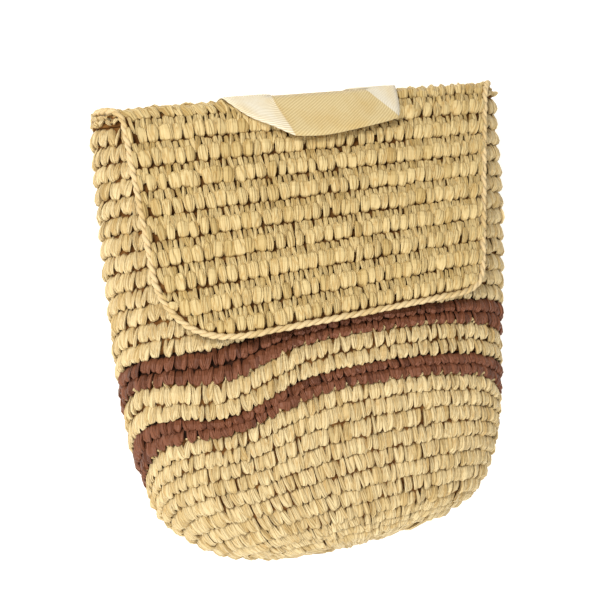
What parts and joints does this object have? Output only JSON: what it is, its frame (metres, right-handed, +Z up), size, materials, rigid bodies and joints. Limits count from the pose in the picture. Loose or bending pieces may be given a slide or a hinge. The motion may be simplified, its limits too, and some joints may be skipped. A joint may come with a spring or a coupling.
{
  "type": "woven straw backpack",
  "caption": "Soft crocheted straw backpack lying on its back, with a fold-over flap, two brown stripes, a webbing carrying handle and shoulder straps folded under it.",
  "frame": {"origin": "on the floor, under the middle of the lying bag's box", "axes": "+Y from the bottom towards the mouth, +Z up through the front, +X across the front to the viewer's right"},
  "size_m": [0.3114, 0.3448, 0.1053],
  "materials": {
    "natural_straw": "crocheted paper straw in a warm natural beige, with a soft sheen on the strands",
    "brown_straw": "the same straw dyed chocolate brown",
    "straw_edging": "fine natural straw worked as a rope-like chain",
    "cotton_webbing": "cream cotton webbing with a fine diagonal rib"
  },
  "bodies": {
    "root": {"pouch_base": "natural_straw", "lower_stripe": "brown_straw", "middle_band": "natural_straw", "upper_stripe": "brown_straw", "upper_wall": "natural_straw", "flap": "natural_straw", "flap_edging": "straw_edging", "top_handle": "cotton_webbing", "shoulder_strap_left": "cotton_webbing", "shoulder_strap_right": "cotton_webbing"}
  },
  "joints": []
}
